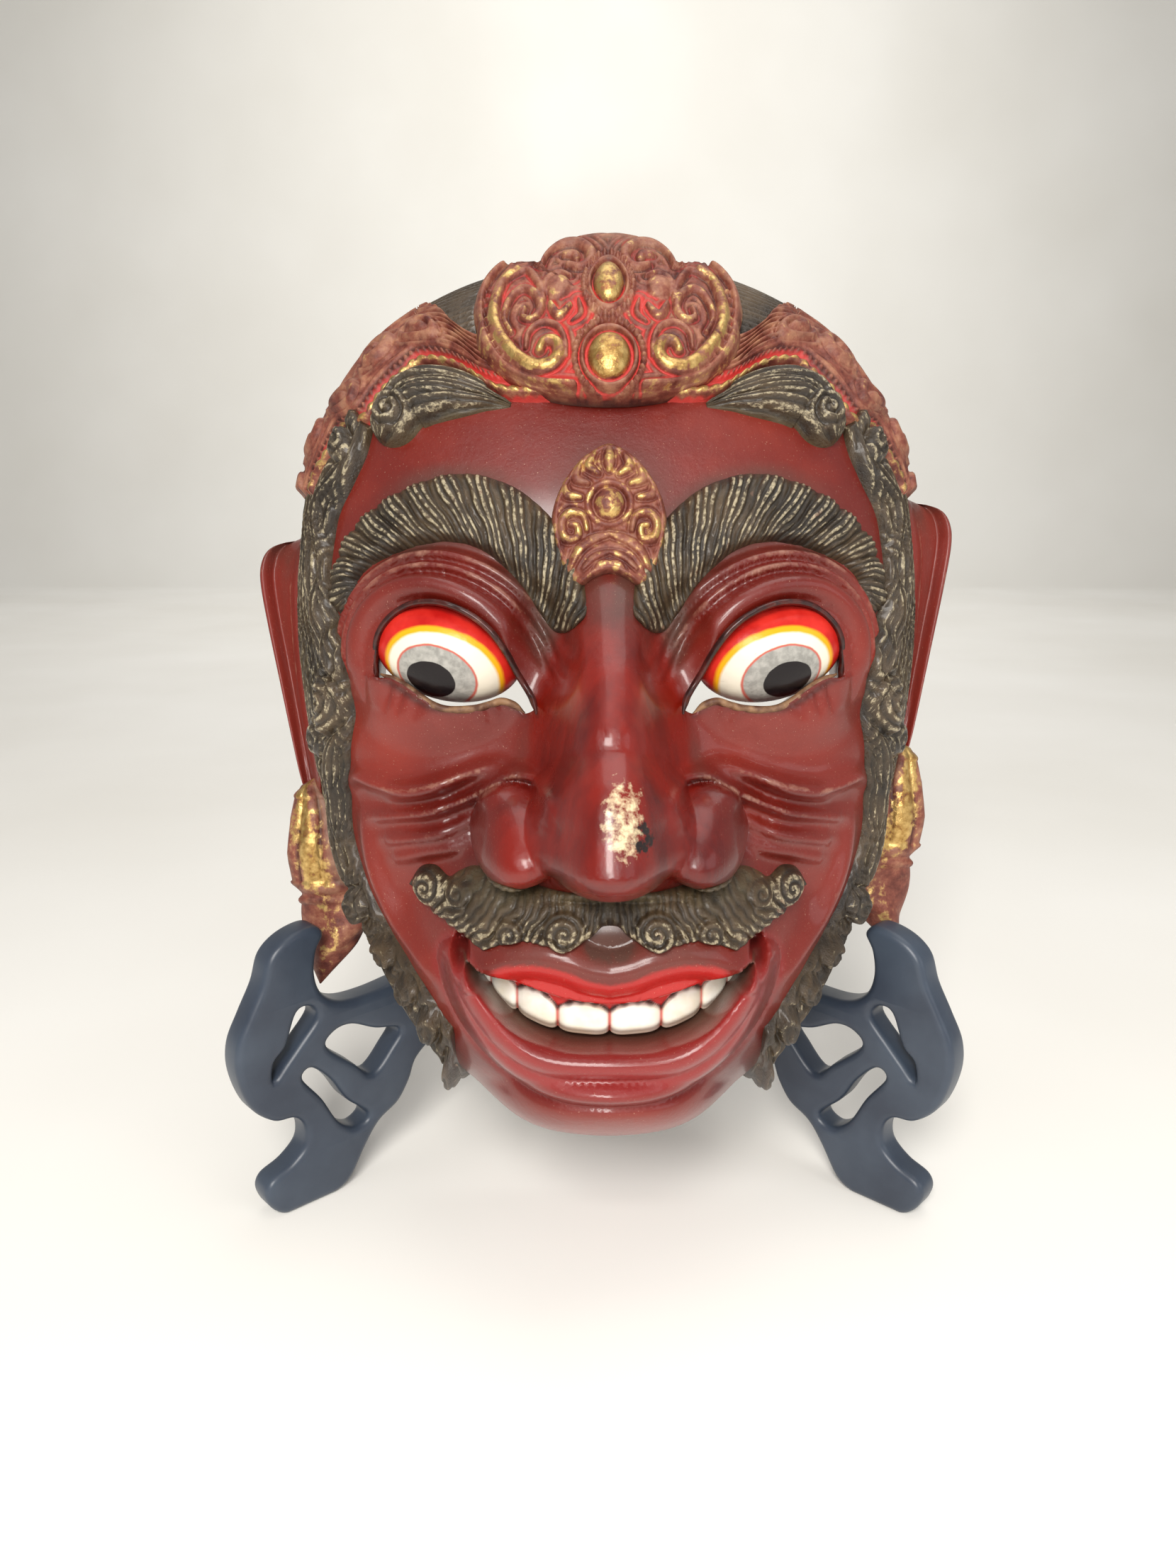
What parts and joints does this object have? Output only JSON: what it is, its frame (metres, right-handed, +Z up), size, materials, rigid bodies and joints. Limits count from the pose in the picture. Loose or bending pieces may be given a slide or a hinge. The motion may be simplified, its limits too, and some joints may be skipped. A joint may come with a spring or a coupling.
{
  "type": "carved dance mask on stand",
  "caption": "Hollow carved wooden face mask with crest, brows, moustache, eye slits and ear pendants, leaning on a stand of cross-lapped pierced scroll boards.",
  "frame": {"origin": "on the floor, under the middle of the object's bounding box", "axes": "+Z up, -Y the way the face looks, +X to the right as seen by someone facing the mask"},
  "size_m": [0.2119, 0.2039, 0.2789],
  "materials": {
    "mask_lacquer": "maroon lacquer, satin to gloss, with painted and gilded details and dust in the carving",
    "stand_paint": "slate blue satin paint"
  },
  "bodies": {
    "root": {"mask": "mask_lacquer", "stand_board_left": "stand_paint", "stand_board_right": "stand_paint"}
  },
  "joints": []
}
